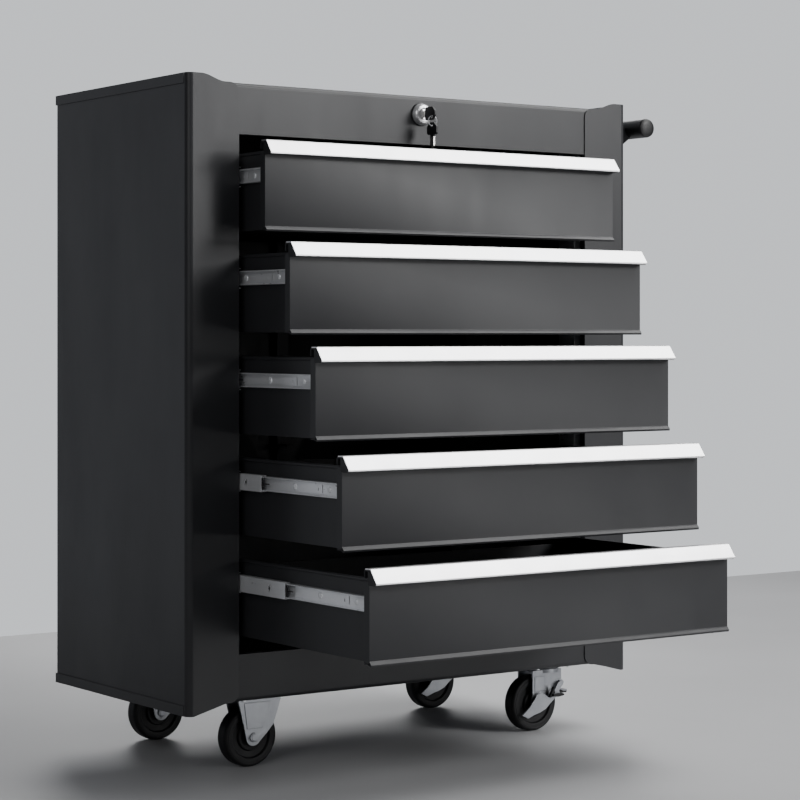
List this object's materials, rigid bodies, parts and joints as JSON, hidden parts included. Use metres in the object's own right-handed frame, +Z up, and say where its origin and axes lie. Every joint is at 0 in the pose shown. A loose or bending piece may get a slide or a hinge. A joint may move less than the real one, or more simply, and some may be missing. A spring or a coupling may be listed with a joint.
{
  "type": "rolling tool chest",
  "caption": "Steel roller cabinet with stacked drawers on ball-bearing slides, full-width metal pulls, a key lock, a side push handle and casters; drawers staggered open.",
  "frame": {"origin": "on the floor, below the middle of the whole object's box, push handle and open drawers included", "axes": "+Z up; -Y is the front, where the drawers open; +X is the right-hand side, with the push handle and the swivel casters"},
  "size_m": [0.6782, 0.571, 0.76],
  "materials": {
    "charcoal_steel": "satin charcoal powder coat",
    "zinc": "bright zinc-plated pressed steel",
    "aluminium": "satin pale anodised extrusion",
    "chrome": "polished plating",
    "wheel_black": "satin black solid wheel",
    "handle_black": "satin black coated tube",
    "key_black": "matte moulded key head"
  },
  "bodies": {
    "cabinet": {"left_side_panel": "charcoal_steel", "right_side_panel": "charcoal_steel", "back_panel": "charcoal_steel", "top_panel": "charcoal_steel", "base_panel": "charcoal_steel", "left_post": "charcoal_steel", "right_post": "charcoal_steel", "left_slide_rack": "zinc", "right_slide_rack": "zinc", "handle_tube": "handle_black", "handle_bracket_front": "charcoal_steel", "handle_bracket_rear": "charcoal_steel", "lock_housing": "chrome", "fixed_fork_front": "zinc", "fixed_fork_rear": "zinc", "swivel_plate_front": "zinc", "swivel_plate_rear": "zinc"},
    "drawer_1": {"drawer_1": "charcoal_steel", "pull_1": "aluminium", "slide_inner_left_1": "zinc", "slide_inner_right_1": "zinc"},
    "slide_middle_left_1": {"slide_middle_left_1": "zinc"},
    "slide_middle_right_1": {"slide_middle_right_1": "zinc"},
    "drawer_2": {"drawer_2": "charcoal_steel", "pull_2": "aluminium", "slide_inner_left_2": "zinc", "slide_inner_right_2": "zinc"},
    "slide_middle_left_2": {"slide_middle_left_2": "zinc"},
    "slide_middle_right_2": {"slide_middle_right_2": "zinc"},
    "drawer_3": {"drawer_3": "charcoal_steel", "pull_3": "aluminium", "slide_inner_left_3": "zinc", "slide_inner_right_3": "zinc"},
    "slide_middle_left_3": {"slide_middle_left_3": "zinc"},
    "slide_middle_right_3": {"slide_middle_right_3": "zinc"},
    "drawer_4": {"drawer_4": "charcoal_steel", "pull_4": "aluminium", "slide_inner_left_4": "zinc", "slide_inner_right_4": "zinc"},
    "slide_middle_left_4": {"slide_middle_left_4": "zinc"},
    "slide_middle_right_4": {"slide_middle_right_4": "zinc"},
    "drawer_5": {"drawer_5": "charcoal_steel", "pull_5": "aluminium", "slide_inner_left_5": "zinc", "slide_inner_right_5": "zinc"},
    "slide_middle_left_5": {"slide_middle_left_5": "zinc"},
    "slide_middle_right_5": {"slide_middle_right_5": "zinc"},
    "fixed_wheel_front": {"fixed_wheel_front": "wheel_black"},
    "swivel_fork_front": {"swivel_fork_front": "zinc"},
    "swivel_wheel_front": {"swivel_wheel_front": "wheel_black"},
    "brake_pedal_front": {"brake_pedal_front": "zinc"},
    "fixed_wheel_rear": {"fixed_wheel_rear": "wheel_black"},
    "swivel_fork_rear": {"swivel_fork_rear": "zinc"},
    "swivel_wheel_rear": {"swivel_wheel_rear": "wheel_black"},
    "brake_pedal_rear": {"brake_pedal_rear": "zinc"},
    "lock_plug": {"lock_plug": "chrome"},
    "key": {"key": "key_black"},
    "key_ring": {"key_ring": "chrome"},
    "spare_key": {"spare_key": "key_black"},
    "lock_bar": {"lock_bar": "charcoal_steel"}
  },
  "joints": [
    {"name": "drawer_1_slide", "type": "slide", "parent": "cabinet", "child": "drawer_1", "axis": [0, -1, 0], "range_m": [-0.0491, 0.2009]},
    {"name": "slide_middle_left_1_travel", "type": "slide", "parent": "cabinet", "child": "slide_middle_left_1", "axis": [0, -1, 0], "range_m": [-0.0246, 0.1005]},
    {"name": "slide_middle_right_1_travel", "type": "slide", "parent": "cabinet", "child": "slide_middle_right_1", "axis": [0, -1, 0], "range_m": [-0.0246, 0.1005]},
    {"name": "drawer_2_slide", "type": "slide", "parent": "cabinet", "child": "drawer_2", "axis": [0, -1, 0], "range_m": [-0.0982, 0.1518]},
    {"name": "slide_middle_left_2_travel", "type": "slide", "parent": "cabinet", "child": "slide_middle_left_2", "axis": [0, -1, 0], "range_m": [-0.0491, 0.0759]},
    {"name": "slide_middle_right_2_travel", "type": "slide", "parent": "cabinet", "child": "slide_middle_right_2", "axis": [0, -1, 0], "range_m": [-0.0491, 0.0759]},
    {"name": "drawer_3_slide", "type": "slide", "parent": "cabinet", "child": "drawer_3", "axis": [0, -1, 0], "range_m": [-0.1473, 0.1027]},
    {"name": "slide_middle_left_3_travel", "type": "slide", "parent": "cabinet", "child": "slide_middle_left_3", "axis": [0, -1, 0], "range_m": [-0.0737, 0.0514]},
    {"name": "slide_middle_right_3_travel", "type": "slide", "parent": "cabinet", "child": "slide_middle_right_3", "axis": [0, -1, 0], "range_m": [-0.0737, 0.0514]},
    {"name": "drawer_4_slide", "type": "slide", "parent": "cabinet", "child": "drawer_4", "axis": [0, -1, 0], "range_m": [-0.1964, 0.0536]},
    {"name": "slide_middle_left_4_travel", "type": "slide", "parent": "cabinet", "child": "slide_middle_left_4", "axis": [0, -1, 0], "range_m": [-0.0982, 0.0269]},
    {"name": "slide_middle_right_4_travel", "type": "slide", "parent": "cabinet", "child": "slide_middle_right_4", "axis": [0, -1, 0], "range_m": [-0.0982, 0.0269]},
    {"name": "drawer_5_slide", "type": "slide", "parent": "cabinet", "child": "drawer_5", "axis": [0, -1, 0], "range_m": [-0.2455, 0.0045]},
    {"name": "slide_middle_left_5_travel", "type": "slide", "parent": "cabinet", "child": "slide_middle_left_5", "axis": [0, -1, 0], "range_m": [-0.1228, 0.0023]},
    {"name": "slide_middle_right_5_travel", "type": "slide", "parent": "cabinet", "child": "slide_middle_right_5", "axis": [0, -1, 0], "range_m": [-0.1228, 0.0023]},
    {"name": "fixed_wheel_front_spin", "type": "hinge", "parent": "cabinet", "child": "fixed_wheel_front", "pos_m": [-0.2346, 0.0255, 0.0335], "axis": [0, 1, 0], "continuous": true},
    {"name": "swivel_fork_front_turn", "type": "hinge", "parent": "cabinet", "child": "swivel_fork_front", "pos_m": [0.1869, 0.0255, 0.0805], "axis": [0, 0, 1], "continuous": true},
    {"name": "swivel_wheel_front_spin", "type": "hinge", "parent": "swivel_fork_front", "child": "swivel_wheel_front", "pos_m": [0.1669, 0.0255, 0.0335], "axis": [0, 1, 0], "continuous": true},
    {"name": "brake_pedal_front_press", "type": "hinge", "parent": "swivel_fork_front", "child": "brake_pedal_front", "pos_m": [0.1994, 0.0255, 0.057], "axis": [0, 1, 0], "range_deg": [0, 10]},
    {"name": "fixed_wheel_rear_spin", "type": "hinge", "parent": "cabinet", "child": "fixed_wheel_rear", "pos_m": [-0.2346, 0.2325, 0.0335], "axis": [0, 1, 0], "continuous": true},
    {"name": "swivel_fork_rear_turn", "type": "hinge", "parent": "cabinet", "child": "swivel_fork_rear", "pos_m": [0.1869, 0.2325, 0.0805], "axis": [0, 0, 1], "continuous": true},
    {"name": "swivel_wheel_rear_spin", "type": "hinge", "parent": "swivel_fork_rear", "child": "swivel_wheel_rear", "pos_m": [0.1669, 0.2325, 0.0335], "axis": [0, 1, 0], "continuous": true},
    {"name": "brake_pedal_rear_press", "type": "hinge", "parent": "swivel_fork_rear", "child": "brake_pedal_rear", "pos_m": [0.1994, 0.2325, 0.057], "axis": [0, 1, 0], "range_deg": [0, 10]},
    {"name": "lock_turn", "type": "hinge", "parent": "cabinet", "child": "lock_plug", "pos_m": [-0.0316, -0.0245, 0.731], "axis": [0, 1, 0], "range_deg": [0, 90]},
    {"name": "key_withdraw", "type": "slide", "parent": "lock_plug", "child": "key", "axis": [0, -1, 0], "range_m": [0, 0.03]},
    {"name": "key_ring_swing", "type": "hinge", "parent": "key", "child": "key_ring", "pos_m": [-0.0316, -0.0463, 0.727], "axis": [1, 0, 0], "range_deg": [-20, 20]},
    {"name": "spare_key_swing", "type": "hinge", "parent": "key_ring", "child": "spare_key", "pos_m": [-0.0316, -0.0463, 0.7172], "axis": [1, 0, 0], "range_deg": [-20, 20]},
    {"name": "lock_bar_drop", "type": "slide", "parent": "cabinet", "child": "lock_bar", "axis": [0, 0, -1], "range_m": [0, 0.008]}
  ],
  "couplings": [
    {"joint": "slide_middle_left_1_travel", "follows": "drawer_1_slide", "ratio": 0.5},
    {"joint": "slide_middle_right_1_travel", "follows": "drawer_1_slide", "ratio": 0.5},
    {"joint": "slide_middle_left_2_travel", "follows": "drawer_2_slide", "ratio": 0.5},
    {"joint": "slide_middle_right_2_travel", "follows": "drawer_2_slide", "ratio": 0.5},
    {"joint": "slide_middle_left_3_travel", "follows": "drawer_3_slide", "ratio": 0.5},
    {"joint": "slide_middle_right_3_travel", "follows": "drawer_3_slide", "ratio": 0.5},
    {"joint": "slide_middle_left_4_travel", "follows": "drawer_4_slide", "ratio": 0.5},
    {"joint": "slide_middle_right_4_travel", "follows": "drawer_4_slide", "ratio": 0.5},
    {"joint": "slide_middle_left_5_travel", "follows": "drawer_5_slide", "ratio": 0.5},
    {"joint": "slide_middle_right_5_travel", "follows": "drawer_5_slide", "ratio": 0.5},
    {"joint": "lock_turn", "follows": "lock_bar_drop", "rad_per_m": 196}
  ]
}
